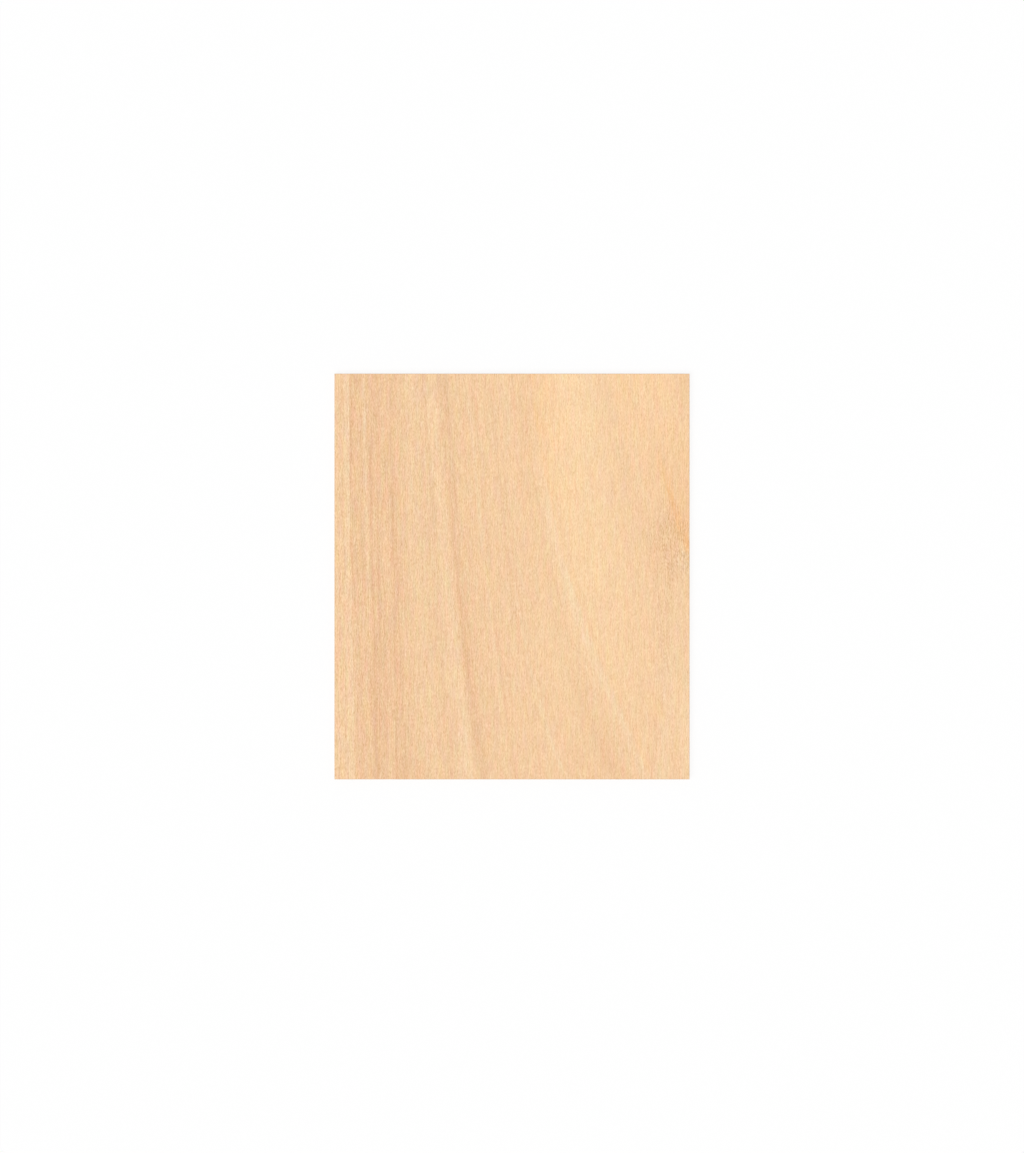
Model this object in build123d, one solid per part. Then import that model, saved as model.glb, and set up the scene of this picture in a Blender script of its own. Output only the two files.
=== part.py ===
"""A craft-size plywood sheet, cut to a rectangle and lightly sanded.

The plies are glued into one board, so the sheet is one solid. It lies flat on its back face.
The origin is the centre of the back face. +X runs across the face grain, +Y along it, and +Z out of the show face.
"""

from build123d import *

import os

# Driving dimensions, in millimetres
sheet_length = 304.8  # 12 in, along the face grain
sheet_width = 266.7  # 10 1/2 in, across the face grain
sheet_thickness = 6.0  # five plies, sanded to thickness
arris_radius = 0.3  # the sawn corners are eased by a pass of fine sandpaper


def make_plywood_sheet() -> Part:
    """The sheet as sawn: square edges all round, with every arris and corner eased by the same amount."""
    sheet = Box(
        sheet_width,
        sheet_length,
        sheet_thickness,
        align=(Align.CENTER, Align.CENTER, Align.MIN),
    )
    return fillet(sheet.edges(), radius=arris_radius)


os.makedirs("parts", exist_ok=True)
plywood_sheet = make_plywood_sheet()
export_step(plywood_sheet, "parts/plywood_sheet.step")
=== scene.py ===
"""The looks of a craft-size plywood sheet: a pale show face, a plainer back and sawn edges with five plies.

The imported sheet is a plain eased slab. Here it gets a mesh whose edges carry the relief of the plies, and a
procedural finish on each side. Lengths are in metres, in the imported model's own frame: +X runs across the
face grain, +Y along it and +Z out of the show face.
"""

import logging
import math
from collections.abc import Sequence
from dataclasses import dataclass, field, replace
from enum import Enum

import bpy
import numpy as np
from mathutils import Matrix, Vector


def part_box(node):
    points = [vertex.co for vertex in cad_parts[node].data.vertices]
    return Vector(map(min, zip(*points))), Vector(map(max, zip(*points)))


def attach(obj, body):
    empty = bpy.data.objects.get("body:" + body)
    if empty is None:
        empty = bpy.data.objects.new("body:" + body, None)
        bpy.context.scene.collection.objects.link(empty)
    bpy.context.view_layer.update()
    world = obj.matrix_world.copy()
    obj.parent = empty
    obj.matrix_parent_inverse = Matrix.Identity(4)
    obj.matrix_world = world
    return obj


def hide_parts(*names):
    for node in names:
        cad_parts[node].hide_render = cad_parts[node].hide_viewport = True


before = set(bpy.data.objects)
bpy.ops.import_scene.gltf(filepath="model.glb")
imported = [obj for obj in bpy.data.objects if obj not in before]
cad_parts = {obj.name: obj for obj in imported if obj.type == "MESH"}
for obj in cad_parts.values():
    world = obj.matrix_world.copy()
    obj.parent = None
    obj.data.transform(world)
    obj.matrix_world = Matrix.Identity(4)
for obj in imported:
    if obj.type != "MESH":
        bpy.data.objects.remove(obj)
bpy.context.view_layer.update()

MILLIMETRE = 0.001
SHEET_NODE = "plywood_sheet"

# Photograph, in pixels
PHOTO_HEIGHT = 1153
FACE_HEIGHT = 405.9  # the show face, from its upper end to its lower end

# The standard screen curve: a straight foot, and a power above it
FOOT_END, FOOT_SLOPE = 0.04045, 12.92
POWER, POWER_OFFSET = 2.4, 0.055

# Socket places on a Mix node set to colour
MIX_SHARE, MIX_BELOW, MIX_ABOVE, MIX_RESULT = 0, 6, 7, 2

Node = bpy.types.Node
Tree = bpy.types.NodeTree
Socket = bpy.types.NodeSocket
Material = bpy.types.Material
Value = float | Sequence[float] | Socket
Colour = tuple[float, float, float, float]
Range = tuple[float, float]
Spread = tuple[float, float, float, float]

WHITE: Colour = (1.0, 1.0, 1.0, 1.0)
CENTRED: Spread = (0.0, 1.0, -0.5, 0.5)  # moves a noise to lie about 0

log = logging.getLogger("plywood_sheet")


def screen(red: float, green: float, blue: float) -> Colour:
    """Turns a colour as seen on a screen into the linear one that a shader takes.

    Args:
        red: Red, from 0 to 255.
        green: Green, from 0 to 255.
        blue: Blue, from 0 to 255.

    Returns:
        The linear colour, with an alpha of 1.
    """
    shares = (channel / 255 for channel in (red, green, blue))
    linear = (
        share / FOOT_SLOPE if share <= FOOT_END else ((share + POWER_OFFSET) / (1 + POWER_OFFSET)) ** POWER
        for share in shares
    )
    return (*linear, 1.0)


class TreeKind(Enum):
    """What a node group is part of."""

    SHADER = "ShaderNodeTree"
    GEOMETRY = "GeometryNodeTree"


class Tone(Enum):
    """What a streak of the figure does to the ground colour."""

    HEART = "heart"
    APRICOT = "apricot"
    AMBER = "amber"
    OLIVE = "olive"
    BROWN = "brown"
    PALE = "pale"


class Side(Enum):
    """The sides of the sheet that have a finish of their own."""

    SHOW = "show_face"
    BACK = "back_face"
    LONG_EDGE = "long_edge"
    END = "sawn_end"


@dataclass(frozen=True)
class Grain:
    """A noise whose patches are drawn out along the grain.

    Attributes:
        width: A patch's size across the grain.
        length: A patch's size along the grain.
        cut: Where the noise is cut, so that two of them differ.
        detail: How many finer layers are added.
        spread: The part of the noise's range from 0 to 1 that counts, and the range that it becomes. Without
            one, the noise stays as it is.
        smooth: Whether the spread is a smooth step and not a straight line.
    """

    width: float
    length: float
    cut: float = 0.0
    detail: float = 1.0
    spread: Spread | None = None
    smooth: bool = False


class Sketch:
    """Draws one node tree: adds nodes, feeds their sockets and sets them out in columns."""

    COLUMN, ROW, ROWS = 220, 180, 8
    SLANT = (0.6, 0.4, 0.7)  # radians

    def __init__(self, tree: Tree) -> None:
        """Starts on an empty tree.

        Args:
            tree: The tree to draw; what it holds already is removed.
        """
        self.tree = tree
        self.tree.nodes.clear()
        self.start: Node | None = None

    @classmethod
    def group(cls, name: str, inputs: dict[str, str], outputs: dict[str, str],
              kind: TreeKind = TreeKind.SHADER) -> "Sketch":
        """Starts a node group with named sockets.

        Args:
            name: The group's name.
            inputs: Each input's name, with the short name of its socket type.
            outputs: Each output's name, with the short name of its socket type.
            kind: What the group is part of.

        Returns:
            The sketch of the new group, with its Group Input placed.
        """
        sketch = cls(bpy.data.node_groups.new(name, kind.value))
        for in_out, sockets in (("INPUT", inputs), ("OUTPUT", outputs)):
            for socket, short in sockets.items():
                sketch.tree.interface.new_socket(socket, in_out=in_out, socket_type=f"NodeSocket{short}")
        sketch.start = sketch.add("NodeGroupInput")
        return sketch

    def given(self, name: str) -> Socket:
        """The group's own input of that name."""
        return self.start.outputs[name]

    def close(self, **results: Value) -> Tree:
        """Feeds the group's outputs, whose names have a space for each underscore.

        Args:
            **results: What each output gets.

        Returns:
            The finished tree.
        """
        self.add("NodeGroupOutput", {name.replace("_", " "): value for name, value in results.items()})
        return self.tree

    def add(self, kind: str, inputs: dict[str | int, Value] | None = None, **settings: object) -> Node:
        """Adds a node.

        Args:
            kind: The node's type name.
            inputs: What each input gets, by name or place.
            **settings: The node's own properties.

        Returns:
            The new node.
        """
        count = len(self.tree.nodes)
        node = self.tree.nodes.new(kind)
        node.location = (self.COLUMN * (count // self.ROWS), -self.ROW * (count % self.ROWS))
        for name, setting in settings.items():
            setattr(node, name, setting)
        for place, value in (inputs or {}).items():
            self.feed(node.inputs[place], value)
        return node

    def feed(self, socket: Socket, value: Value) -> None:
        """Links a socket to an output, or sets its own value.

        Args:
            socket: The input to feed.
            value: An output, a number or a list of numbers.
        """
        if isinstance(value, Socket):
            self.tree.links.new(value, socket)
        else:
            socket.default_value = value

    def place(self, group: Tree, **inputs: Value) -> Node:
        """Places a shader group, whose input names have a space for each underscore.

        Args:
            group: The group's tree.
            **inputs: What each input gets.

        Returns:
            The group's node.
        """
        node = self.add("ShaderNodeGroup", node_tree=group)
        for name, value in inputs.items():
            self.feed(node.inputs[name.replace("_", " ")], value)
        return node

    def math(self, operation: str, *values: Value) -> Socket:
        """The result of a Math node.

        Args:
            operation: The node's operation.
            *values: Its inputs in order.

        Returns:
            The node's output.
        """
        return self.add("ShaderNodeMath", dict(enumerate(values)), operation=operation).outputs[0]

    def vector_math(self, operation: str, *values: Value) -> Socket:
        """The result of a Vector Math node.

        Args:
            operation: The node's operation.
            *values: Its inputs in order; an output of one number counts for all three parts.

        Returns:
            The node's output.
        """
        node = self.add("ShaderNodeVectorMath", dict(enumerate(values)), operation=operation)
        return node.outputs["Value" if operation == "LENGTH" else "Vector"]

    def total(self, values: Sequence[Socket]) -> Socket:
        """The sum of several outputs.

        Args:
            values: At least one output.

        Returns:
            The output of the last Add node.
        """
        result = values[0]
        for value in values[1:]:
            result = self.math("ADD", result, value)
        return result

    def remap(self, value: Value, low: Value, high: Value, to_low: Value = 0.0, to_high: Value = 1.0,
              smooth: bool = False) -> Socket:
        """Moves a value from one range to another, and holds it at the ends.

        Args:
            value: The value.
            low: Where the first range starts.
            high: Where the first range ends.
            to_low: What the start becomes.
            to_high: What the end becomes.
            smooth: Whether the way between is a smooth step and not a straight line.

        Returns:
            The Map Range node's output.
        """
        inputs = {"Value": value, "From Min": low, "From Max": high, "To Min": to_low, "To Max": to_high}
        kind = "SMOOTHSTEP" if smooth else "LINEAR"
        return self.add("ShaderNodeMapRange", inputs, interpolation_type=kind).outputs["Result"]

    def blend(self, share: Value, below: Value, above: Value) -> Socket:
        """Lays one colour over another.

        Args:
            share: How much of the upper colour shows.
            below: The lower colour.
            above: The upper colour.

        Returns:
            The mixed colour.
        """
        inputs = {MIX_SHARE: share, MIX_BELOW: below, MIX_ABOVE: above}
        return self.add("ShaderNodeMix", inputs, data_type="RGBA").outputs[MIX_RESULT]

    def vector(self, x: Value, y: Value, z: Value = 0.0) -> Socket:
        """A vector of three values."""
        return self.add("ShaderNodeCombineXYZ", {0: x, 1: y, 2: z}).outputs[0]

    def parts(self, vector: Value) -> list[Socket]:
        """The three values of a vector."""
        return list(self.add("ShaderNodeSeparateXYZ", {0: vector}).outputs)

    def grain(self, across: Value, along: Value, grain: Grain, seed: Value) -> Socket:
        """Lays out a grain noise, at a slant so that its own square lattice never lines up with the grain.

        Args:
            across: Place across the grain.
            along: Place along the grain.
            grain: The noise.
            seed: What moves the noise's cut.

        Returns:
            The noise, spread where it has a spread and about 0.5 where it has none.
        """
        cut = self.math("ADD", seed, grain.cut) if isinstance(seed, Socket) else seed + grain.cut
        shrink = (1 / grain.width, 1 / grain.length, 1.0)
        stretched = self.vector_math("MULTIPLY", self.vector(across, along, cut), shrink)
        slant = {"Vector": stretched, "Rotation": self.SLANT}
        turned = self.add("ShaderNodeVectorRotate", slant, rotation_type="EULER_XYZ").outputs[0]
        inputs = {"Vector": turned, "Scale": 1.0, "Detail": grain.detail}
        noise = self.add("ShaderNodeTexNoise", inputs).outputs[0]
        return self.remap(noise, *grain.spread, smooth=grain.smooth) if grain.spread else noise


@dataclass(frozen=True)
class Streak:
    """One growth-ring streak of the figure, placed in shares of the sheet's width.

    Attributes:
        tone: What it does to the ground colour.
        place: Where its full strength starts, at the upper end of the sheet.
        width: How wide its full strength is.
        rise: How wide it fades in on its left.
        fall: How wide it fades out on its right.
        strengths: Its strength at the upper end, halfway and at the lower end; a negative one has it fade out
            on the way there.
        drift: How far it moves to the right of the common lean by the lower end.
    """

    tone: Tone
    place: float
    width: float
    rise: float
    fall: float
    strengths: tuple[float, float, float]
    drift: float = 0.0


@dataclass(frozen=True)
class Palette:
    """The colours of one veneer: its ground, and what a streak of each tone comes to at full strength."""

    ground: Colour
    heart: Colour
    apricot: Colour
    amber: Colour
    olive: Colour
    brown: Colour
    pale: Colour

    def of(self, tone: Tone) -> Colour:
        """The colour of a streak of that tone at full strength."""
        return getattr(self, tone.value)


class SharedGroups:
    """The shader node groups that more than one finish uses, each built once."""

    # Wood fibre: the flecks, vessel dashes and threads, and how much each of them counts
    FIBRES = (
        (Grain(0.46 * MILLIMETRE, 1.9 * MILLIMETRE, detail=0.0), 0.43),
        (Grain(0.55 * MILLIMETRE, 7.5 * MILLIMETRE, cut=12.9), 0.41),
        (Grain(0.85 * MILLIMETRE, 36 * MILLIMETRE, cut=25.8), 0.16),
    )
    FIBRE_SWING = (0.81, 1.15, 1.64)  # how far they lighten and darken red, green and blue

    # Two slow tints that leave the brightness alone: from red to blue, and from purple to green
    TINTS = (
        (Grain(3.4 * MILLIMETRE, 17 * MILLIMETRE, cut=51.6, spread=CENTRED), (-0.13, 0.018, 0.135)),
        (Grain(3.4 * MILLIMETRE, 17 * MILLIMETRE, cut=64.5, spread=CENTRED), (-0.042, 0.148, -0.118)),
    )

    PORE = Grain(
        0.22 * MILLIMETRE, 4.5 * MILLIMETRE, cut=38.7, detail=0.0, spread=(0.62, 0.76, 0.0, 1.0), smooth=True,
    )
    PORE_BROWN = screen(196, 146, 100)
    PORE_SHARE, PORE_DEPTH = 0.32, 0.4

    # Painted shade along the eased arris: the face is greyed a little where its edge rounds away
    RIM_SHADE_GREY = screen(222, 186, 150)
    RIM_SHARE = 0.55
    RIM_WIDTH = 0.9 * MILLIMETRE

    def __init__(self) -> None:
        """Builds the groups."""
        self.streak = self._streak()
        self.fibre = self._fibre()
        self.rim = self._painted_rim_shade()

    def _streak(self) -> Tree:
        """The group that shades one streak of the figure.

        Returns:
            The group.
        """
        numbers = ("Ring", "Along", "Place", "Width", "Rise", "Fall", "Drift", "Upper", "Middle", "Lower")
        sketch = Sketch.group("growth ring streak", dict.fromkeys(numbers, "Float"), {"Shade": "Float"})
        given = sketch.given
        along, width = given("Along"), given("Width")
        place = sketch.math("MULTIPLY_ADD", given("Drift"), along, given("Place"))
        past = sketch.math("SUBTRACT", given("Ring"), place)
        rise = sketch.remap(past, sketch.math("MULTIPLY", given("Rise"), -1.0), 0.0, smooth=True)
        fall = sketch.remap(past, width, sketch.math("ADD", width, given("Fall")), 1.0, 0.0, smooth=True)
        upper = sketch.remap(along, 0.0, 0.5, given("Upper"), given("Middle"))
        strength = sketch.remap(along, 0.5, 1.0, upper, given("Lower"))
        profile = sketch.math("MULTIPLY", rise, fall)
        return sketch.close(Shade=sketch.math("MULTIPLY", profile, sketch.math("MAXIMUM", strength, 0.0)))

    def _fibre(self) -> Tree:
        """The group that lays flecks, vessel dashes, threads, pores and slow tints over a colour.

        Returns:
            The group. Its Height is about 0.5, and lower in the pores.
        """
        numbers = ("Across", "Along", "Seed", "Contrast", "Tint")
        inputs = {"Color": "Color", **dict.fromkeys(numbers, "Float")}
        sketch = Sketch.group("wood fibre", inputs, {"Color": "Color", "Height": "Float"})
        across, along, seed, contrast, tint = (sketch.given(name) for name in numbers)
        layers = [
            sketch.math("MULTIPLY", sketch.grain(across, along, grain, seed), share)
            for grain, share in self.FIBRES
        ]
        relief = sketch.math("MULTIPLY", sketch.math("SUBTRACT", sketch.total(layers), 0.5), contrast)
        colour = self._swing(sketch, sketch.given("Color"), relief, self.FIBRE_SWING)
        for grain, swing in self.TINTS:
            shift = sketch.math("MULTIPLY", sketch.grain(across, along, grain, seed), tint)
            colour = self._swing(sketch, colour, shift, swing)
        pore = sketch.grain(across, along, self.PORE, seed)
        colour = sketch.blend(sketch.math("MULTIPLY", pore, self.PORE_SHARE), colour, self.PORE_BROWN)
        height = sketch.math("MULTIPLY_ADD", pore, -self.PORE_DEPTH, sketch.math("ADD", relief, 0.5))
        return sketch.close(Color=colour, Height=height)

    @staticmethod
    def _swing(sketch: Sketch, colour: Socket, noise: Socket, swing: tuple[float, float, float]) -> Socket:
        """Lightens and darkens a colour by a noise about 0.

        Args:
            sketch: The tree.
            colour: The colour.
            noise: The noise.
            swing: How far each channel goes.

        Returns:
            The changed colour, no brighter than white.
        """
        gain = sketch.vector_math("MULTIPLY_ADD", noise, swing, WHITE[:3])
        return sketch.vector_math("MINIMUM", sketch.vector_math("MULTIPLY", colour, gain), WHITE[:3])

    def _painted_rim_shade(self) -> Tree:
        """The group that paints shade along a face's eased arris, greying the face a little there.

        Returns:
            The group.
        """
        inputs = {"Color": "Color", "Position": "Vector", "Half Size": "Vector"}
        sketch = Sketch.group("painted rim shade", inputs, {"Color": "Color"})
        place = sketch.vector_math("ABSOLUTE", sketch.given("Position"))
        inside = sketch.parts(sketch.vector_math("SUBTRACT", sketch.given("Half Size"), place))
        nearest = sketch.math("MINIMUM", inside[0], inside[1])
        share = sketch.remap(nearest, 0.0, self.RIM_WIDTH, self.RIM_SHARE, 0.0, smooth=True)
        return sketch.close(Color=sketch.blend(share, sketch.given("Color"), self.RIM_SHADE_GREY))


@dataclass(frozen=True)
class Knot:
    """The cheek of a knot that the sheet's edge cuts through, in shares of the sheet's width and length.

    Attributes:
        across: The knot's place from the left side.
        along: The knot's place from the upper end.
        reach: How far its shade reaches across and along.
        strength: How strong its shade is at the middle.
        shade: Its colour.
    """

    across: float
    along: float
    reach: tuple[float, float]
    strength: float
    shade: Colour


@dataclass(frozen=True)
class Veneer:
    """A face veneer's figure: how its rings lean, its streaks and its colours.

    Attributes:
        name: The finish's name.
        palette: Its colours.
        lean: Points of how far a ring moves across by the lower end, from the left side to the right.
        streaks: The streaks, in any order.
        knots: The knots' cheeks.
        wander: How far the rings waver, in shares of the width.
        comb: How far neighbouring fibres are shifted along each other, in shares of the length.
        contrast: How strong the fibre is at the left side and at the right.
        seed: Where the noises are cut.
        mirrored: Whether the figure is laid from right to left.
    """

    name: str
    palette: Palette
    lean: tuple[tuple[float, float], ...]
    streaks: tuple[Streak, ...]
    knots: tuple[Knot, ...] = ()
    wander: float = 0.012
    comb: float = 0.09
    contrast: Range = (1.0, 1.0)
    seed: float = 0.0
    mirrored: bool = False

    # Noises of the figure, in shares of the sheet's width and length
    WAVER = Grain(0.16, 0.35, cut=51.3, spread=CENTRED)  # the rings' wandering
    COMBED = Grain(0.0035, 0.06, cut=61.7, spread=CENTRED)  # the fibres' shifts along each other
    RINGS = Grain(0.008, 0.55, cut=83.1)  # the fine rings between the streaks
    BLOTCHY = Grain(0.012, 0.13, cut=79.3, spread=(0.3, 0.7, 0.65, 1.35))  # the brown streaks' strength
    DASHED = Grain(0.0032, 0.03, cut=87.5, spread=(0.3, 0.7, 0.35, 1.45))  # the amber streaks' strength
    PATCHY = Grain(0.03, 0.30, cut=71.9, spread=(0.25, 0.75, 0.75, 1.25))  # the other streaks' strength
    MOTTLED = Grain(0.008, 0.012, cut=91.1, spread=(0.3, 0.7, 0.4, 1.6))  # the knots' strength

    RING_BUNDLES = (0.25, 0.75, 0.45, 1.55)  # what the fine rings do to the brown streaks' strength
    RING_STAIN = (0.4, 0.8, 0.0, 0.2)  # how much of the brown the fine rings have
    CONTRAST_REACH = (0.05, 0.65)  # where the fibre's strength starts to change, and where it ends
    KNOT_CONTRAST = 1.2  # how much a knot adds to the fibre's strength

    def figure(self, shared: SharedGroups, width: float, length: float) -> Tree:
        """Builds the group that gives the veneer's colour and relief at a place of the sheet.

        Args:
            shared: The shared groups.
            width: The sheet's width.
            length: The sheet's length.

        Returns:
            The group. Its Plain Color is the colour without the fibre.
        """
        outputs = {"Color": "Color", "Plain Color": "Color", "Height": "Float"}
        sketch = Sketch.group(f"{self.name} figure", {"Position": "Vector"}, outputs)
        x, y, _ = sketch.parts(sketch.given("Position"))
        side = -1.0 if self.mirrored else 1.0
        across = sketch.math("MULTIPLY_ADD", x, side / width, 0.5)
        along = sketch.math("MULTIPLY_ADD", y, -1 / length, 0.5)
        waver = sketch.grain(across, along, self.WAVER, self.seed)
        across = sketch.math("MULTIPLY_ADD", waver, self.wander, across)
        comb = sketch.grain(across, along, self.COMBED, self.seed)
        ring = self._ring(sketch, across, sketch.math("MULTIPLY_ADD", comb, self.comb, along))
        rings = sketch.grain(ring, along, self.RINGS, self.seed)
        blotchy = sketch.grain(ring, along, self.BLOTCHY, self.seed)
        bundled = sketch.math("MULTIPLY", blotchy, sketch.remap(rings, *self.RING_BUNDLES))
        dashed = sketch.grain(across, along, self.DASHED, self.seed)
        patchy = sketch.grain(across, along, self.PATCHY, self.seed)
        uneven = {Tone.BROWN: bundled, Tone.AMBER: dashed}
        colour = sketch.blend(sketch.remap(rings, *self.RING_STAIN), self.palette.ground, self.palette.brown)
        for tone in Tone:
            shades = [self._shade(sketch, shared, s, ring, along) for s in self.streaks if s.tone is tone]
            if shades:
                shade = sketch.math("MULTIPLY", sketch.total(shades), uneven.get(tone, patchy))
                colour = sketch.blend(shade, colour, self.palette.of(tone))
        tint = contrast = sketch.remap(across, *self.CONTRAST_REACH, *self.contrast)
        for knot in self.knots:
            share = self._cheek(sketch, knot, across, along)
            colour = sketch.blend(share, colour, knot.shade)
            contrast = sketch.math("MULTIPLY_ADD", share, self.KNOT_CONTRAST, contrast)
        fibre = sketch.place(
            shared.fibre, Color=colour, Across=x, Along=y, Seed=self.seed, Contrast=contrast, Tint=tint,
        )
        return sketch.close(Color=fibre.outputs["Color"], Plain_Color=colour, Height=fibre.outputs["Height"])

    def _ring(self, sketch: Sketch, across: Socket, along: Socket) -> Socket:
        """Straightens the figure, so that each growth ring has one value from end to end.

        Args:
            sketch: The figure's tree.
            across: Share of the width.
            along: Share of the length, from the upper end.

        Returns:
            The ring's place at the upper end.
        """
        node = sketch.add("ShaderNodeFloatCurve", {"Value": across})
        curve = node.mapping.curves[0]
        curve.points[0].location, curve.points[-1].location = self.lean[0], self.lean[-1]
        for point in self.lean[1:-1]:
            curve.points.new(*point)
        node.mapping.update()
        moved = sketch.math("MULTIPLY", node.outputs[0], along)
        return sketch.math("SUBTRACT", across, moved)

    @staticmethod
    def _shade(sketch: Sketch, shared: SharedGroups, streak: Streak, ring: Socket, along: Socket) -> Socket:
        """Places one streak.

        Args:
            sketch: The figure's tree.
            shared: The shared groups.
            streak: The streak.
            ring: The straightened place across.
            along: Share of the length, from the upper end.

        Returns:
            The streak's strength at each place.
        """
        upper, middle, lower = streak.strengths
        return sketch.place(
            shared.streak, Ring=ring, Along=along, Place=streak.place, Width=streak.width, Rise=streak.rise,
            Fall=streak.fall, Drift=streak.drift, Upper=upper, Middle=middle, Lower=lower,
        ).outputs["Shade"]

    def _cheek(self, sketch: Sketch, knot: Knot, across: Socket, along: Socket) -> Socket:
        """Finds where a knot's cheek shows, mottled because the fibre dips there.

        Args:
            sketch: The figure's tree.
            knot: The knot.
            across: Share of the width.
            along: Share of the length, from the upper end.

        Returns:
            How much of the knot's colour shows at each place.
        """
        sides = [
            sketch.math("DIVIDE", sketch.math("SUBTRACT", place, centre), reach)
            for place, centre, reach in zip((across, along), (knot.across, knot.along), knot.reach)
        ]
        far = sketch.vector_math("LENGTH", sketch.vector(*sides))
        share = sketch.remap(far, 1.0, 0.0, 0.0, knot.strength, smooth=True)
        return sketch.math("MULTIPLY", share, sketch.grain(across, along, self.MOTTLED, self.seed))


@dataclass(frozen=True)
class PlyStack:
    """The plies as the sawn edges show them.

    Attributes:
        outer: The face and back plies' thickness.
        inner: Each inner ply's thickness.
        glue_line: A glue line's width.
        core: The inner plies' colour along the grain.
        end_grain: The colour that end grain darkens to.
        glue: The glue's colour.
        seed: Where the noises are cut.
    """

    outer: float = 1.14 * MILLIMETRE
    inner: float = 1.24 * MILLIMETRE
    glue_line: float = 0.1 * MILLIMETRE
    core: Colour = screen(238, 200, 156)
    end_grain: Colour = screen(197, 147, 100)
    glue: Colour = screen(136, 92, 58)
    seed: float = 5.0

    INNER_PLIES = 3

    # How the plies waver up and down, and how they differ in colour
    WAVER = Grain(25 * MILLIMETRE, 4 * MILLIMETRE, spread=CENTRED)
    WAVER_REACH = 0.18 * MILLIMETRE
    PLY_SHADES = Grain(0.37, 90 * MILLIMETRE, cut=3.1, spread=(0.3, 0.7, 0.0, 0.35))

    # The end grain's bands and open pits, the gaps in the glue lines, and the saw's marks over all of it
    BANDS = Grain(2.2 * MILLIMETRE, 0.9 * MILLIMETRE, cut=13.9, detail=2.0, spread=(0.2, 0.8, 0.4, 0.8))
    PITS = Grain(0.16 * MILLIMETRE, 0.16 * MILLIMETRE, cut=17.3, detail=0.0, spread=(0.55, 0.75, 0.0, 0.25))
    GLUE_GAPS = Grain(6 * MILLIMETRE, 1.0, cut=29.0, spread=(0.35, 0.6, 0.5, 1.0))
    SAW = Grain(0.55 * MILLIMETRE, 14 * MILLIMETRE, cut=41.7, detail=2.0)
    SAW_STAIN = (0.5, 0.8, 0.0, 0.3)

    FIBRE_CUT = 7.7
    FIBRE_CONTRAST = 0.7
    GLUE_SHARE = 0.75
    SAW_HEIGHT, GLUE_DEPTH = 1.2, 0.8

    @staticmethod
    def locate(sketch: Sketch, level: Socket, ends: Socket, outer: Value,
               inner: Value) -> tuple[Socket, Socket, Socket]:
        """Finds what lies at a height of a sawn edge.

        Args:
            sketch: The tree.
            level: The height above the back face.
            ends: 1 on the ends and 0 on the long edges.
            outer: The outer plies' thickness.
            inner: Each inner ply's thickness.

        Returns:
            The ply's number, from -1 at the back; 1 where it shows end grain and 0 where it doesn't; and how
            far the nearest glue line is.
        """
        count = sketch.math("DIVIDE", sketch.math("SUBTRACT", level, outer), inner)
        ply = sketch.math("FLOOR", count)
        crossed = sketch.math("FLOORED_MODULO", sketch.math("ADD", ply, 1.0), 2.0)
        end_on = sketch.math("ABSOLUTE", sketch.math("SUBTRACT", ends, crossed))
        apart = sketch.math("ABSOLUTE", sketch.math("SUBTRACT", count, sketch.math("ROUND", count)))
        return ply, end_on, sketch.math("MULTIPLY", apart, inner)

    def edge(self, shared: SharedGroups) -> Tree:
        """Builds the group that colours a sawn edge.

        Args:
            shared: The shared groups.

        Returns:
            The group. Its Ends input is 0 on the long edges and 1 on the ends.
        """
        numbers = ("Run", "Up", "Ends")
        inputs = {**dict.fromkeys(numbers, "Float"), "Show Color": "Color", "Back Color": "Color"}
        sketch = Sketch.group("sawn plies", inputs, {"Color": "Color", "Height": "Float"})
        run, up, ends = (sketch.given(name) for name in numbers)
        waver = sketch.grain(run, up, self.WAVER, self.seed)
        level = sketch.math("MULTIPLY_ADD", waver, self.WAVER_REACH, up)
        ply, end_on, apart = self.locate(sketch, level, ends, self.outer, self.inner)

        colour = sketch.blend(sketch.grain(ply, run, self.PLY_SHADES, self.seed), self.core, self.end_grain)
        on_show = sketch.math("GREATER_THAN", ply, self.INNER_PLIES - 0.5)
        colour = sketch.blend(on_show, colour, sketch.given("Show Color"))
        on_back = sketch.math("LESS_THAN", ply, -0.5)
        colour = sketch.blend(on_back, colour, sketch.given("Back Color"))
        fibre = sketch.place(
            shared.fibre, Color=colour, Across=level, Along=run, Seed=self.seed + self.FIBRE_CUT,
            Contrast=self.FIBRE_CONTRAST, Tint=1.0,
        )

        noises = (self.BANDS, self.PITS, self.GLUE_GAPS, self.SAW)
        bands, pits, gaps, saw = (sketch.grain(run, level, noise, self.seed) for noise in noises)
        ended = sketch.math("MULTIPLY", end_on, sketch.math("ADD", bands, pits))
        colour = sketch.blend(ended, fibre.outputs["Color"], self.end_grain)
        glue = sketch.remap(apart, self.glue_line / 2, self.glue_line, self.GLUE_SHARE, 0.0, smooth=True)
        colour = sketch.blend(sketch.math("MULTIPLY", glue, gaps), colour, self.glue)
        colour = sketch.blend(sketch.remap(saw, *self.SAW_STAIN), colour, self.end_grain)
        sunk = sketch.math("MULTIPLY", glue, -self.GLUE_DEPTH)
        return sketch.close(Color=colour, Height=sketch.math("MULTIPLY_ADD", saw, self.SAW_HEIGHT, sunk))


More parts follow.
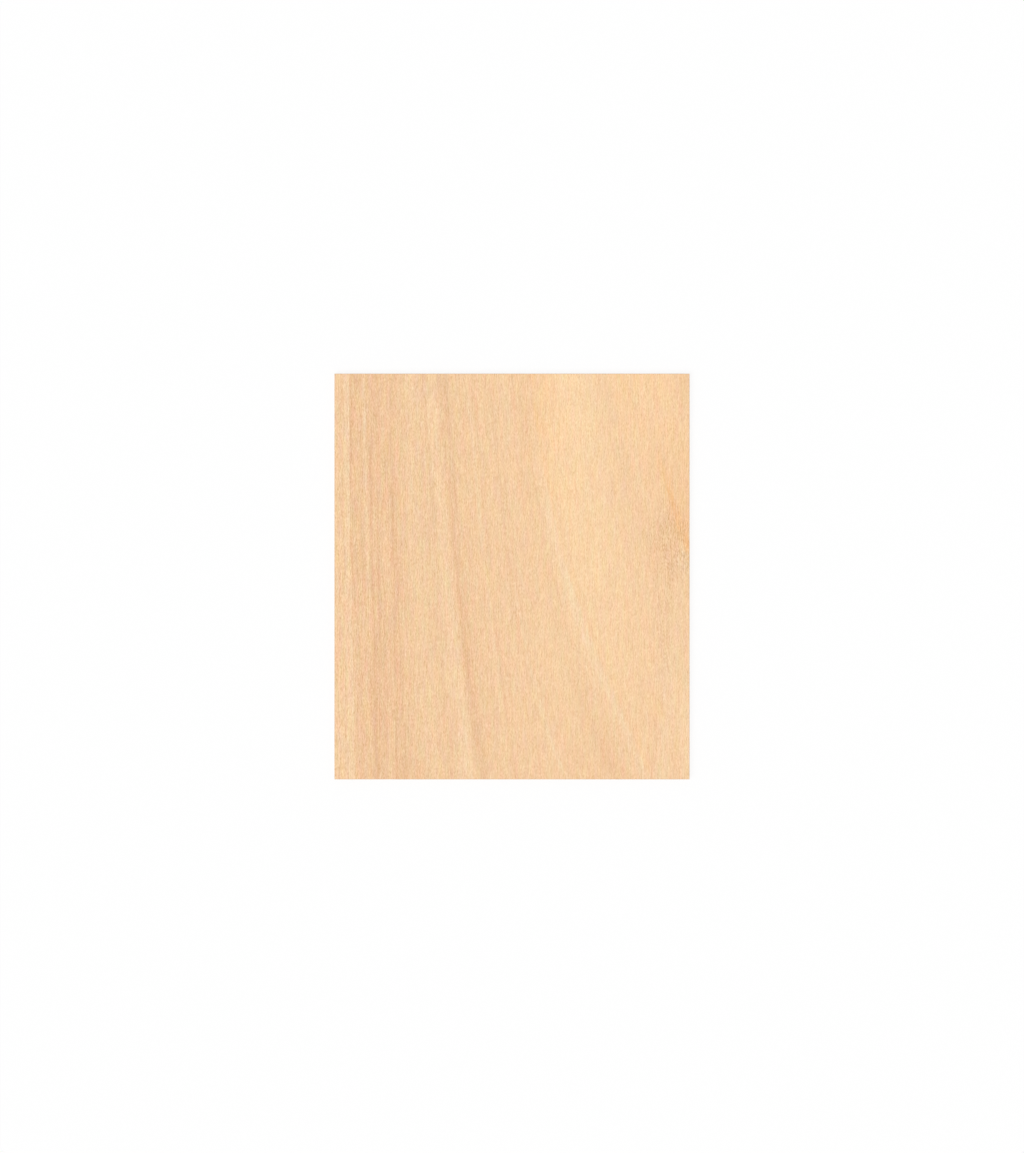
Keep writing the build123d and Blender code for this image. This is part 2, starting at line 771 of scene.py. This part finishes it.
SHOW_VENEER = Veneer(
    name="show veneer",
    palette=Palette(
        ground=screen(244.2, 204.9, 161.8),
        heart=screen(252.5, 219.5, 175.5),
        apricot=screen(252, 211.5, 164),
        amber=screen(246, 193, 138),
        olive=screen(234, 199, 158),
        brown=screen(232.5, 187.3, 146),
        pale=screen(246, 216.5, 179),
    ),
    lean=((0.0, 0.01), (0.1, 0.02), (0.2, 0.03), (0.3, 0.09), (0.42, 0.115), (0.5, 0.125), (0.6, 0.18),
          (0.8, 0.295), (1.0, 0.36)),
    streaks=(
        # The light strip at the left side, and the brown bundle of rings beside it
        Streak(Tone.BROWN, 0.020, 0.003, 0.003, 0.003, (0.25, 0.25, 0.10)),
        Streak(Tone.PALE, 0.026, 0.012, 0.006, 0.003, (0.32, 0.25, 0.30)),
        Streak(Tone.BROWN, 0.041, 0.135, 0.003, 0.025, (0.31, 0.33, 0.38)),
        Streak(Tone.BROWN, 0.042, 0.002, 0.003, 0.006, (0.40, 0.10, 0.05)),
        Streak(Tone.BROWN, 0.052, 0.020, 0.006, 0.010, (0.15, 0.05, 0.12)),
        Streak(Tone.BROWN, 0.078, 0.012, 0.004, 0.006, (0.00, 0.00, 0.28)),
        Streak(Tone.PALE, 0.081, 0.004, 0.005, 0.005, (0.42, 0.22, -0.30)),
        Streak(Tone.BROWN, 0.094, 0.028, 0.006, 0.008, (0.14, 0.20, 0.34)),
        Streak(Tone.BROWN, 0.096, 0.006, 0.004, 0.005, (0.05, 0.19, 0.36)),
        Streak(Tone.BROWN, 0.1155, 0.002, 0.003, 0.003, (0.18, 0.22, 0.10)),
        Streak(Tone.BROWN, 0.153, 0.004, 0.004, 0.005, (0.10, 0.28, 0.50)),
        Streak(Tone.BROWN, 0.164, 0.008, 0.004, 0.006, (0.06, 0.12, 0.30)),
        # The lighter rings before the main dark streak
        Streak(Tone.OLIVE, 0.190, 0.060, 0.020, 0.010, (0.18, 0.18, 0.12)),
        Streak(Tone.PALE, 0.205, 0.035, 0.020, 0.008, (0.08, 0.02, 0.00)),
        Streak(Tone.BROWN, 0.230, 0.006, 0.008, 0.008, (0.00, 0.14, 0.40)),
        Streak(Tone.BROWN, 0.249, 0.004, 0.004, 0.005, (0.28, 0.22, 0.10)),
        Streak(Tone.PALE, 0.262, 0.016, 0.016, 0.012, (0.18, 0.20, 0.34), -0.005),
        # The main dark streak
        Streak(Tone.BROWN, 0.296, 0.018, 0.012, 0.012, (0.22, 0.50, 0.30), -0.005),
        Streak(Tone.BROWN, 0.303, 0.008, 0.004, 0.006, (0.12, 0.06, 0.16), -0.005),
        Streak(Tone.OLIVE, 0.292, 0.020, 0.006, 0.008, (0.60, -0.16, 0.30)),
        Streak(Tone.BROWN, 0.325, 0.030, 0.010, 0.015, (0.02, 0.12, 0.06)),
        # Single rings in the plain middle
        Streak(Tone.PALE, 0.369, 0.004, 0.005, 0.004, (0.30, 0.24, 0.00)),
        Streak(Tone.BROWN, 0.379, 0.003, 0.003, 0.012, (0.10, 0.18, 0.24)),
        Streak(Tone.BROWN, 0.433, 0.003, 0.006, 0.003, (0.10, 0.25, 0.14)),
        Streak(Tone.PALE, 0.4415, 0.002, 0.002, 0.003, (0.00, 0.20, 0.44)),
        Streak(Tone.BROWN, 0.4465, 0.002, 0.002, 0.004, (0.22, 0.30, 0.22)),
        Streak(Tone.PALE, 0.456, 0.020, 0.006, 0.015, (0.18, 0.12, 0.00)),
        Streak(Tone.AMBER, 0.462, 0.008, 0.014, 0.014, (0.00, 0.06, 0.12)),
        Streak(Tone.BROWN, 0.498, 0.014, 0.012, 0.012, (0.08, -0.26, 0.46)),
        Streak(Tone.BROWN, 0.508, 0.014, 0.010, 0.006, (0.00, 0.30, -0.10)),
        Streak(Tone.AMBER, 0.475, 0.045, 0.020, 0.012, (0.07, 0.06, 0.03)),
        # The pale line with its amber rim, and the light heart to its right
        Streak(Tone.PALE, 0.534, 0.008, 0.006, 0.006, (-0.46, 0.48, 0.30), 0.016),
        Streak(Tone.AMBER, 0.546, 0.004, 0.004, 0.012, (0.12, 0.14, 0.10), 0.020),
        Streak(Tone.AMBER, 0.550, 0.045, 0.010, 0.050, (0.28, -0.02, 0.00)),
        Streak(Tone.HEART, 0.622, 0.058, 0.080, 0.095, (0.77, 0.40, 0.02), -0.16),
        Streak(Tone.HEART, 0.660, 0.090, 0.030, 0.050, (0.00, 0.00, 0.32)),
        # The warm upper right, with the amber streak that runs out at the knot
        Streak(Tone.APRICOT, 0.560, 0.080, 0.020, 0.080, (0.42, 0.28, 0.14)),
        Streak(Tone.APRICOT, 0.800, 0.110, 0.060, 0.070, (0.72, -0.25, 0.00)),
        Streak(Tone.HEART, 0.780, 0.070, 0.040, 0.040, (0.12, 0.12, -0.06), -0.30),
        Streak(Tone.AMBER, 0.830, 0.120, 0.010, 0.060, (-0.12, 0.44, 0.44)),
        Streak(Tone.AMBER, 0.800, 0.004, 0.004, 0.010, (0.18, -0.10, 0.00), 0.17),
        Streak(Tone.AMBER, 0.838, 0.006, 0.005, 0.012, (-0.90, 1.50, 1.50)),
        # The rings that close round the knot below it
        Streak(Tone.BROWN, 0.985, 0.003, 0.006, 0.004, (-0.70, 0.12, 0.34), -0.425),
        Streak(Tone.PALE, 0.996, 0.018, 0.006, 0.014, (-0.70, 0.10, 0.38), -0.425),
        Streak(Tone.PALE, 0.988, 0.030, 0.010, 0.010, (-0.90, 0.05, 0.30), -0.36),
    ),
    knots=(
        Knot(0.938, 0.405, (0.072, 0.130), 0.54, screen(233, 187, 143)),
        Knot(0.978, 0.385, (0.030, 0.060), 0.42, screen(234, 188, 142)),
        Knot(0.945, 0.480, (0.018, 0.075), 0.46, screen(230, 185, 141)),
        Knot(0.925, 0.640, (0.035, 0.260), 0.22, screen(232, 194, 154)),
        Knot(0.982, 0.462, (0.035, 0.055), 0.60, screen(232, 201, 162)),
    ),
    contrast=(1.07, 0.80),
    seed=0.0,
)

BACK_VENEER = Veneer(
    name="back veneer",
    palette=Palette(
        ground=screen(240, 201, 159),
        heart=screen(246, 211, 168),
        apricot=screen(246, 205, 160),
        amber=screen(236, 188, 138),
        olive=screen(228, 194, 153),
        brown=screen(224, 179, 137),
        pale=screen(247, 213, 177),
    ),
    lean=((0.0, 0.03), (0.35, 0.05), (0.65, 0.02), (1.0, 0.06)),
    streaks=(
        Streak(Tone.BROWN, 0.070, 0.050, 0.020, 0.008, (0.35, 0.30, 0.30)),
        Streak(Tone.BROWN, 0.190, 0.020, 0.030, 0.006, (0.30, 0.35, 0.40)),
        Streak(Tone.BROWN, 0.330, 0.040, 0.040, 0.010, (0.28, 0.22, 0.25)),
        Streak(Tone.BROWN, 0.610, 0.015, 0.020, 0.008, (0.42, 0.50, 0.42)),
        Streak(Tone.BROWN, 0.760, 0.030, 0.040, 0.010, (0.25, 0.30, 0.35)),
        Streak(Tone.BROWN, 0.890, 0.050, 0.030, 0.012, (0.40, 0.36, 0.34)),
        Streak(Tone.PALE, 0.205, 0.006, 0.004, 0.020, (0.30, 0.25, 0.35)),
        Streak(Tone.PALE, 0.640, 0.010, 0.006, 0.030, (0.35, 0.30, 0.25)),
        Streak(Tone.HEART, 0.400, 0.150, 0.060, 0.050, (0.45, 0.55, 0.60)),
    ),
    seed=140.0,
    mirrored=True,
)


@dataclass(frozen=True)
class BareWood:
    """The surface of bare wood, over whatever colour and relief it has.

    Attributes:
        roughness: The roughness of the lowest and the highest relief.
        relief: How deep a height of 1 is.
    """

    roughness: Range
    relief: float

    HEIGHTS = (0.3, 1.3)  # what counts as the lowest and the highest relief
    SPECULAR_LEVEL = 0.3

    def dress(self, sketch: Sketch, colour: Socket, height: Socket) -> None:
        """Adds the wood's shader to a material.

        Args:
            sketch: The material's tree.
            colour: The colour.
            height: The relief's height.
        """
        bump = sketch.add("ShaderNodeBump", {"Strength": 1.0, "Distance": self.relief, "Height": height})
        shader = sketch.add("ShaderNodeBsdfPrincipled", {
            "Base Color": colour,
            "Roughness": sketch.remap(height, *self.HEIGHTS, *self.roughness),
            "Specular IOR Level": self.SPECULAR_LEVEL,
            "Normal": bump.outputs["Normal"],
        })
        sketch.add("ShaderNodeOutputMaterial", {"Surface": shader.outputs["BSDF"]})


SANDED = BareWood(roughness=(0.68, 0.56), relief=0.02 * MILLIMETRE)
SAWN = BareWood(roughness=(0.82, 0.68), relief=0.03 * MILLIMETRE)


@dataclass(frozen=True)
class MapPatch:
    """A rectangle of the sheet's texture map, in shares of the map's side.

    Attributes:
        left: Its left side.
        low: Its lower side.
        width: Its width.
        height: Its height.
    """

    left: float
    low: float
    width: float
    height: float

    def lay(self, across: np.ndarray, up: np.ndarray) -> np.ndarray:
        """Lays places on the patch.

        Args:
            across: Shares of the patch's width.
            up: Shares of the patch's height.

        Returns:
            The places on the map, one row each.
        """
        return np.stack([self.left + self.width * across, self.low + self.height * up], axis=-1)


@dataclass
class PlywoodSheet:
    """The sheet: one mesh with eased arrises and the plies' relief on its edges, and a finish on each side.

    Attributes:
        low: The lowest corner, from the frame.
        high: The highest corner, from the frame.
        arris: The greatest radius of an eased arris.
        arris_least: The least radius of an eased arris.
        face_cell: The mesh's cell size along the faces.
        edge_cell: The mesh's cell size through the thickness.
        arris_cells: How many cells go round an arris, to each side.
        groove: The depth of the glue lines on the edges.
        groove_width: How wide a glue line's groove is on each side.
        ply_step: How far the plies that show end grain stand back.
        saw_depth: The depth of the saw's marks.
        seed: Where the relief's noises are cut.
        stack: The plies.
    """

    low: Sequence[float]
    high: Sequence[float]
    arris: float = 0.36 * MILLIMETRE
    arris_least: float = 0.26 * MILLIMETRE
    face_cell: float = 3.0 * MILLIMETRE
    edge_cell: float = 0.1 * MILLIMETRE
    arris_cells: int = 4
    groove: float = 0.07 * MILLIMETRE
    groove_width: float = 0.12 * MILLIMETRE
    ply_step: float = 0.04 * MILLIMETRE
    saw_depth: float = 0.05 * MILLIMETRE
    seed: float = 3.0
    stack: PlyStack = field(default_factory=PlyStack)

    NAME = "plywood_panel"

    # Hand sanding of the arrises: its rubs to the metre, how much more often they change up the edge, their
    # finer layers, and the part of that noise that goes from the least radius to the greatest
    RUBS, RUB_RISE, RUB_DETAIL = 55.0, 4.0, 2.0
    RUB_RANGE = (0.3, 0.7)

    # The saw's marks, and the part of that noise that goes from no depth to the full depth
    SAW = Grain(5 * MILLIMETRE, 20 * MILLIMETRE, detail=2.0)
    SAW_RANGE = (0.4, 0.75)

    FLAT = 0.9999  # the greatest part of a unit normal, from which a face counts as flat
    STEEP = math.sqrt(0.5)  # the upward part of a unit normal at half a right angle

    # The texture map: the two faces side by side, and the four edges in strips below them
    MAP_NAME = "OFBake"
    FACE_PATCHES = {
        Side.SHOW: MapPatch(0.003, 0.345, 0.5705, 0.652),
        Side.BACK: MapPatch(0.577, 0.345, 0.42, 0.48),
    }
    STRIP = MapPatch(0.003, 0.004, 0.994, 0.08)
    STRIP_PITCH = 0.085

    @property
    def size(self) -> list[float]:
        """The sheet's width, length and thickness."""
        return [high - low for low, high in zip(self.low, self.high)]

    def cells(self) -> list[int]:
        """How many cells the mesh has along each axis."""
        steps = zip(self.size, (self.face_cell, self.face_cell, self.edge_cell))
        return [round((side - 2 * self.arris) / step) + 2 * self.arris_cells for side, step in steps]

    def finishes(self) -> dict[Side, Material]:
        """Builds the sheet's materials.

        Returns:
            The material of each side.
        """
        shared = SharedGroups()
        width, length, _ = self.size
        show = SHOW_VENEER.figure(shared, width, length)
        back = BACK_VENEER.figure(shared, width, length)
        edge = self.stack.edge(shared)
        return {
            Side.SHOW: self._face_finish(Side.SHOW, shared, show),
            Side.BACK: self._face_finish(Side.BACK, shared, back),
            Side.LONG_EDGE: self._edge_finish(Side.LONG_EDGE, edge, show, back),
            Side.END: self._edge_finish(Side.END, edge, show, back),
        }

    def _face_finish(self, side: Side, shared: SharedGroups, figure: Tree) -> Material:
        """Builds a face's material.

        Args:
            side: The face.
            shared: The shared groups.
            figure: The face veneer's figure.

        Returns:
            The material.
        """
        material, sketch = self._blank(side)
        position = sketch.add("ShaderNodeTexCoord").outputs["Object"]
        veneer = sketch.place(figure, Position=position)
        half = [whole / 2 for whole in self.size]
        # Painted shade: the face is greyed a little along its eased arris
        rim = sketch.place(shared.rim, Color=veneer.outputs["Color"], Position=position, Half_Size=half)
        SANDED.dress(sketch, rim.outputs["Color"], veneer.outputs["Height"])
        return material

    def _edge_finish(self, side: Side, edge: Tree, show: Tree, back: Tree) -> Material:
        """Builds the material of the long edges or the ends.

        Args:
            side: Which of them.
            edge: The sawn plies' group.
            show: The show veneer's figure.
            back: The back veneer's figure.

        Returns:
            The material.
        """
        material, sketch = self._blank(side)
        position = sketch.add("ShaderNodeTexCoord").outputs["Object"]
        x, y, z = sketch.parts(position)
        run, ends = (x, 1.0) if side is Side.END else (y, 0.0)
        plies = sketch.place(
            edge, Run=run, Up=z, Ends=ends,
            Show_Color=sketch.place(show, Position=position).outputs["Plain Color"],
            Back_Color=sketch.place(back, Position=position).outputs["Plain Color"],
        )
        SAWN.dress(sketch, plies.outputs["Color"], plies.outputs["Height"])
        return material

    @staticmethod
    def _blank(side: Side) -> tuple[Material, Sketch]:
        """An empty material for a side, and the sketch of its tree.

        Args:
            side: The side.

        Returns:
            The material and the sketch.
        """
        material = bpy.data.materials.new(f"plywood_{side.value}")
        material.use_nodes = True
        return material, Sketch(material.node_tree)

    def tree(self) -> Tree:
        """Builds the Geometry Nodes tree of an eased sheet with sawn edges.

        Returns:
            The tree. Its inputs are the sheet's sizes and materials, by name.
        """
        sides = ("Width", "Length", "Thickness")
        lengths = ("Arris", "Least Arris", "Outer Ply", "Inner Ply", "Groove", "Groove Width", "Ply Step",
                   "Saw Depth", "Seed")
        counts = ("Cells Across", "Cells Along", "Cells Through")
        inputs = {
            "Geometry": "Geometry",
            **dict.fromkeys((*sides, *lengths), "Float"),
            **dict.fromkeys((*counts, "Arris Cells"), "Int"),
            **{side.value: "Material" for side in Side},
        }
        sketch = Sketch.group("eased plywood sheet", inputs, {"Geometry": "Geometry"}, TreeKind.GEOMETRY)
        sizes = [sketch.given(name) for name in sides]
        cells = [sketch.given(name) for name in counts]
        corners = {f"Vertices {axis}": sketch.math("ADD", count, 1.0) for axis, count in zip("XYZ", cells)}
        slab = sketch.add("GeometryNodeMeshCube", {"Size": (1.0, 1.0, 1.0), **corners})
        spots = sketch.parts(sketch.add("GeometryNodeInputPosition").outputs[0])
        place = [self._station(sketch, *axis) for axis in zip(spots, sizes, cells)]
        eased, outward = self._ease(sketch, place, sketch.vector(*sizes))
        level_out = sketch.vector_math("MULTIPLY", outward, (1.0, 1.0, 0.0))
        inward = sketch.vector_math("MULTIPLY", level_out, self._relief(sketch, place, outward))
        lift = sketch.vector(0.0, 0.0, sketch.math("MULTIPLY", sizes[2], 0.5))
        at = sketch.vector_math("ADD", sketch.vector_math("SUBTRACT", eased, inward), lift)
        shaped = sketch.add("GeometryNodeSetPosition", {"Geometry": slab.outputs["Mesh"], "Position": at})
        return self._dress(sketch, shaped.outputs["Geometry"])

    @staticmethod
    def _station(sketch: Sketch, spot: Socket, size: Socket, cells: Socket) -> Socket:
        """Moves evenly spaced cells, so that a few of them lie in each arris.

        Args:
            sketch: The tree.
            spot: The even place, from -0.5 to 0.5.
            size: The sheet's size along this axis.
            cells: The number of cells along this axis.

        Returns:
            The place along this axis, from the sheet's middle.
        """
        arris, few = sketch.given("Arris"), sketch.given("Arris Cells")
        count = sketch.math("MULTIPLY", sketch.math("ADD", spot, 0.5), cells)
        last = sketch.math("SUBTRACT", cells, few)
        middle = sketch.math("MULTIPLY_ADD", arris, -2.0, size)
        stretches = [
            sketch.remap(count, 0.0, few, 0.0, arris),
            sketch.remap(count, few, last, 0.0, middle),
            sketch.remap(count, last, cells, 0.0, arris),
        ]
        return sketch.math("MULTIPLY_ADD", size, -0.5, sketch.total(stretches))

    def _ease(self, sketch: Sketch, place: list[Socket], size: Socket) -> tuple[Socket, Socket]:
        """Rounds the slab's arrises, by a radius that varies a little as hand sanding leaves it.

        Args:
            sketch: The tree.
            place: The place along each axis, from the sheet's middle.
            size: The sheet's size.

        Returns:
            The eased place and the outward direction.
        """
        x, y, z = place
        rise = sketch.math("MULTIPLY_ADD", z, self.RUB_RISE, sketch.given("Seed"))
        rubs = {"Vector": sketch.vector(x, y, rise), "Scale": self.RUBS, "Detail": self.RUB_DETAIL}
        rubbed = sketch.add("ShaderNodeTexNoise", rubs).outputs[0]
        radius = sketch.remap(rubbed, *self.RUB_RANGE, sketch.given("Least Arris"), sketch.given("Arris"))
        spot = sketch.vector(x, y, z)
        reach = sketch.vector_math("SUBTRACT", sketch.vector_math("MULTIPLY", size, (0.5,) * 3), radius)
        lowest = sketch.vector_math("MULTIPLY", reach, (-1.0,) * 3)
        core = sketch.vector_math("MINIMUM", sketch.vector_math("MAXIMUM", spot, lowest), reach)
        outward = sketch.vector_math("NORMALIZE", sketch.vector_math("SUBTRACT", spot, core))
        return sketch.vector_math("ADD", core, sketch.vector_math("MULTIPLY", outward, radius)), outward

    def _relief(self, sketch: Sketch, place: list[Socket], outward: Socket) -> Socket:
        """Sinks the glue lines, the plies that show end grain and the saw's marks into the edges.

        Args:
            sketch: The tree.
            place: The place along each axis, from the sheet's middle.
            outward: The outward direction.

        Returns:
            How deep each place is sunk.
        """
        given = sketch.given
        x, y, z = place
        up = sketch.math("MULTIPLY_ADD", given("Thickness"), 0.5, z)
        out_x, out_y, _ = sketch.parts(sketch.vector_math("ABSOLUTE", outward))
        on_end = sketch.math("GREATER_THAN", out_y, out_x)
        _, end_on, apart = self.stack.locate(sketch, up, on_end, given("Outer Ply"), given("Inner Ply"))
        groove = sketch.remap(apart, 0.0, given("Groove Width"), given("Groove"), 0.0, smooth=True)
        step = sketch.math("MULTIPLY", end_on, given("Ply Step"))
        saw = sketch.grain(sketch.math("ADD", x, y), up, self.SAW, given("Seed"))
        marks = sketch.remap(saw, *self.SAW_RANGE, 0.0, given("Saw Depth"))
        return sketch.total([groove, step, marks])

    def _dress(self, sketch: Sketch, geometry: Socket) -> Tree:
        """Shades the bent cells smooth, and gives each side its material.

        Args:
            sketch: The tree.
            geometry: The shaped sheet.

        Returns:
            The finished tree.
        """
        normal = sketch.add("GeometryNodeInputNormal").outputs[0]
        x, y, z = sketch.parts(sketch.vector_math("ABSOLUTE", normal))
        most = sketch.math("MAXIMUM", sketch.math("MAXIMUM", x, y), z)
        bent = sketch.math("LESS_THAN", most, self.FLAT)
        smooth = sketch.add("GeometryNodeSetShadeSmooth", {"Geometry": geometry, "Shade Smooth": bent})
        whole = sketch.add("GeometryNodeRealizeInstances", {"Geometry": smooth.outputs[0]}).outputs[0]
        upright = sketch.math("LESS_THAN", z, self.STEEP)
        wide = sketch.math("GREATER_THAN", x, y)
        chosen = {
            Side.SHOW: True,
            Side.BACK: sketch.math("LESS_THAN", sketch.parts(normal)[2], -self.STEEP),
            Side.LONG_EDGE: sketch.math("MULTIPLY", upright, wide),
            Side.END: sketch.math("MULTIPLY", upright, sketch.math("SUBTRACT", 1.0, wide)),
        }
        for side, selection in chosen.items():
            inputs = {"Geometry": whole, "Selection": selection, "Material": sketch.given(side.value)}
            whole = sketch.add("GeometryNodeSetMaterial", inputs).outputs[0]
        return sketch.close(Geometry=whole)

    def build(self) -> bpy.types.Object:
        """Makes the sheet's object: a plain mesh with its materials and its texture map.

        Returns:
            The object, in place.
        """
        finishes = self.finishes()
        width, length, thickness = self.size
        cells_across, cells_along, cells_through = self.cells()
        settings = {
            "Width": width, "Length": length, "Thickness": thickness, "Arris": self.arris,
            "Least Arris": self.arris_least, "Outer Ply": self.stack.outer, "Inner Ply": self.stack.inner,
            "Groove": self.groove, "Groove Width": self.groove_width, "Ply Step": self.ply_step,
            "Saw Depth": self.saw_depth, "Seed": self.seed, "Cells Across": cells_across,
            "Cells Along": cells_along, "Cells Through": cells_through, "Arris Cells": self.arris_cells,
            **{side.value: material for side, material in finishes.items()},
        }
        sheet = bpy.data.objects.new(self.NAME, bpy.data.meshes.new(self.NAME))
        bpy.context.scene.collection.objects.link(sheet)
        modifier = sheet.modifiers.new("sheet", "NODES")
        modifier.node_group = self.tree()
        for item in modifier.node_group.interface.items_tree:
            if item.in_out == "INPUT" and item.name in settings:
                modifier[item.identifier] = settings[item.name]
        made = sheet.evaluated_get(bpy.context.evaluated_depsgraph_get())
        mesh = bpy.data.meshes.new_from_object(made)
        sheet.modifiers.remove(modifier)
        sheet.data = mesh
        mesh.name = self.NAME
        mesh.materials.pop(index=list(mesh.materials).index(None))
        self._lay_map(mesh, {material.name: side for side, material in finishes.items()})
        return sheet

    def _lay_map(self, mesh: bpy.types.Mesh, side_of: dict[str, Side]) -> None:
        """Lays each side of the sheet on its patch of the texture map.

        Args:
            mesh: The sheet's mesh, of four-sided faces.
            side_of: The side that wears each material, by the material's name.
        """
        corners = self._read(mesh.loops, "vertex_index", np.int32).reshape(-1, 4)
        points = self._read(mesh.vertices, "co", np.float32, 3)
        normals = self._read(mesh.polygons, "normal", np.float32, 3)
        worn = self._read(mesh.polygons, "material_index", np.int32)[:, 0]
        shares = (points - np.array(self.low)) / np.array(self.size)
        x, y, z = np.moveaxis(shares[corners], -1, 0)
        places = np.zeros((*corners.shape, 2))
        for slot, material in enumerate(mesh.materials):
            side = side_of[material.name]
            mine = worn == slot
            if side in self.FACE_PATCHES:
                places[mine] = self.FACE_PATCHES[side].lay(x[mine], y[mine])
                continue
            axis, run, first = (0, y, 0) if side is Side.LONG_EDGE else (1, x, 2)
            for extra, sign in enumerate((-1, 1)):
                part = mine & (np.sign(normals[:, axis]) == sign)
                strip = replace(self.STRIP, low=self.STRIP.low + self.STRIP_PITCH * (first + extra))
                places[part] = strip.lay(run[part], z[part])
        layer = mesh.uv_layers.new(name=self.MAP_NAME)
        layer.data.foreach_set("uv", places.astype(np.float32).ravel())

    @staticmethod
    def _read(items: bpy.types.bpy_prop_collection, name: str, kind: type, width: int = 1) -> np.ndarray:
        """Reads one property of a mesh's vertices, corners or faces.

        Args:
            items: The vertices, corners or faces.
            name: The property's name.
            kind: The type of its numbers.
            width: How many numbers it has.

        Returns:
            The numbers, one row for each item.
        """
        numbers = np.empty(width * len(items), dtype=kind)
        items.foreach_get(name, numbers)
        return numbers.reshape(-1, width)


@dataclass
class Studio:
    """A white floor, one broad soft key light, an even surround and the camera above the sheet.

    Attributes:
        top: The height of the show face.
        sheet_length: The sheet's length.
        floor_side: The floor's side.
        floor_gap: How far the floor lies below the sheet, so that the two don't flicker.
        floor_white: The floor's own white.
        floor_glow: How much of the floor's look is plain white, and not its lit colour.
        surround: The surround's light on the object.
        key_share: The key's light on the show face.
        key_from: The direction that the key comes from.
        key_spread: How wide the key looks from the sheet, in degrees.
        lens: The camera's focal length, in millimetres.
        sensor: The camera's sensor along the frame's long side, in millimetres.
    """

    top: float
    sheet_length: float
    floor_side: float = 40.0
    floor_gap: float = 0.1 * MILLIMETRE
    floor_white: float = 0.97
    floor_glow: float = 0.88
    surround: float = 0.55
    key_share: float = 0.45
    key_from: tuple[float, float, float] = (-0.40, -0.36, 1.0)
    key_spread: float = 40.0
    lens: float = 100.0
    sensor: float = 36.0

    def build(self) -> None:
        """Makes the floor, the lights and the camera."""
        scene = bpy.context.scene
        scene.view_settings.view_transform = "Standard"
        self._floor(scene)
        self._world(scene)
        self._key(scene)
        self._camera(scene)

    @staticmethod
    def _seen_white(sketch: Sketch) -> Socket:
        """The rays that see the background and not its light: the camera's, and those in gloss and glass.

        Args:
            sketch: The tree that they are read in.

        Returns:
            1 on such a ray and 0 on others.
        """
        path = sketch.add("ShaderNodeLightPath")
        seen = sketch.math("MAXIMUM", path.outputs["Is Camera Ray"], path.outputs["Is Glossy Ray"])
        return sketch.math("MAXIMUM", seen, path.outputs["Is Transmission Ray"])

    def _floor(self, scene: bpy.types.Scene) -> None:
        """Lays the floor just under the sheet.

        Args:
            scene: The scene.
        """
        half = self.floor_side / 2
        outline = ((-half, -half), (half, -half), (half, half), (-half, half))
        mesh = bpy.data.meshes.new("floor")
        mesh.from_pydata([(x, y, -self.floor_gap) for x, y in outline], [], [(0, 1, 2, 3)])
        material = bpy.data.materials.new("floor_white")
        material.use_nodes = True
        sketch = Sketch(material.node_tree)
        lit = sketch.add("ShaderNodeBsdfDiffuse", {"Color": (*(self.floor_white,) * 3, 1.0)})
        plain = sketch.add("ShaderNodeEmission", {"Color": WHITE, "Strength": 1.0})
        share = sketch.math("MULTIPLY", self._seen_white(sketch), self.floor_glow)
        mixed = sketch.add("ShaderNodeMixShader", {0: share, 1: lit.outputs[0], 2: plain.outputs[0]})
        sketch.add("ShaderNodeOutputMaterial", {"Surface": mixed.outputs[0]})
        mesh.materials.append(material)
        floor = bpy.data.objects.new("floor", mesh)
        scene.collection.objects.link(floor)

    def _world(self, scene: bpy.types.Scene) -> None:
        """Lights the sheet evenly from all round, with a white that only the camera sees.

        Args:
            scene: The scene.
        """
        world = bpy.data.worlds.new("surround")
        world.use_nodes = True
        sketch = Sketch(world.node_tree)
        strength = sketch.remap(self._seen_white(sketch), 0.0, 1.0, self.surround, 1.0)
        light = sketch.add("ShaderNodeBackground", {"Color": WHITE, "Strength": strength})
        sketch.add("ShaderNodeOutputWorld", {"Surface": light.outputs[0]})
        scene.world = world

    def _key(self, scene: bpy.types.Scene) -> None:
        """Hangs the key light, far and broad, so that the face is evenly lit.

        Args:
            scene: The scene.
        """
        direction = Vector(self.key_from).normalized()
        lamp = bpy.data.lights.new("key", "SUN")
        lamp.energy = self.key_share * math.pi / direction.z
        lamp.angle = math.radians(self.key_spread)
        key = bpy.data.objects.new("key", lamp)
        key.rotation_euler = direction.to_track_quat("Z", "Y").to_euler()
        scene.collection.objects.link(key)

    def _camera(self, scene: bpy.types.Scene) -> None:
        """Hangs the camera square above the sheet, as far as the photograph's framing needs.

        Args:
            scene: The scene.
        """
        lens = bpy.data.cameras.new("camera")
        lens.lens = self.lens
        lens.sensor_width = self.sensor
        seen = self.sheet_length * PHOTO_HEIGHT / FACE_HEIGHT
        camera = bpy.data.objects.new("camera", lens)
        camera.location = (0.0, 0.0, self.top + seen * self.lens / self.sensor)
        scene.collection.objects.link(camera)
        scene.camera = camera


def main() -> None:
    """Builds the sheet and the studio, and reports each piece."""
    logging.basicConfig(level=logging.INFO, format="%(name)s: %(message)s")
    low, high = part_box(SHEET_NODE)
    sheet = PlywoodSheet(tuple(low), tuple(high))
    panel = sheet.build()
    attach(panel, "root")
    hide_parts(SHEET_NODE)
    log.info("%s: %d faces, %d finishes", panel.name, len(panel.data.polygons), len(panel.data.materials))
    Studio(top=high.z, sheet_length=sheet.size[1]).build()
    log.info("studio: floor, key, surround and camera")


if __name__ == "__main__":
    main()
